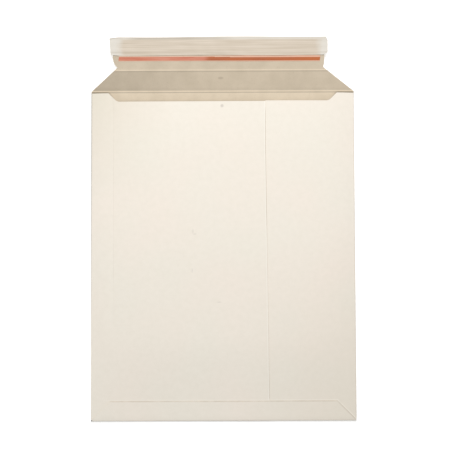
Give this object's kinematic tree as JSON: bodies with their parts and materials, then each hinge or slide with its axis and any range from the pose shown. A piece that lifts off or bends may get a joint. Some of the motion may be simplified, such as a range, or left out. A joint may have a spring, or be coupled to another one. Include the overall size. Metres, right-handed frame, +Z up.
{
  "type": "cardboard envelope",
  "caption": "Solid-board envelope, white outside and grey-brown inside, with a lapped back seam, thumb notch, open closing flap, tear tape and release liner.",
  "frame": {"origin": "middle of the front panel's outer face, which lies on the table", "axes": "+X across the envelope, +Y towards the closing flap, +Z up from the table through the back"},
  "size_m": [0.25, 0.3629, 0.0081],
  "materials": {
    "white_lined_board": "matte",
    "grey_board": "matte",
    "orange_film": "satin",
    "adhesive": "gloss",
    "release_paper": "satin"
  },
  "bodies": {
    "pocket": {"envelope_body": "white_lined_board"},
    "flap": {"closure_flap": "grey_board", "tear_tape": "orange_film", "adhesive_strip": "adhesive", "release_liner": "release_paper"}
  },
  "joints": [
    {"name": "flap_crease", "type": "hinge", "parent": "pocket", "child": "flap", "pos_m": [0, 0.156, 0.0034], "axis": [1, 0, 0], "range_deg": [0, 168]}
  ]
}
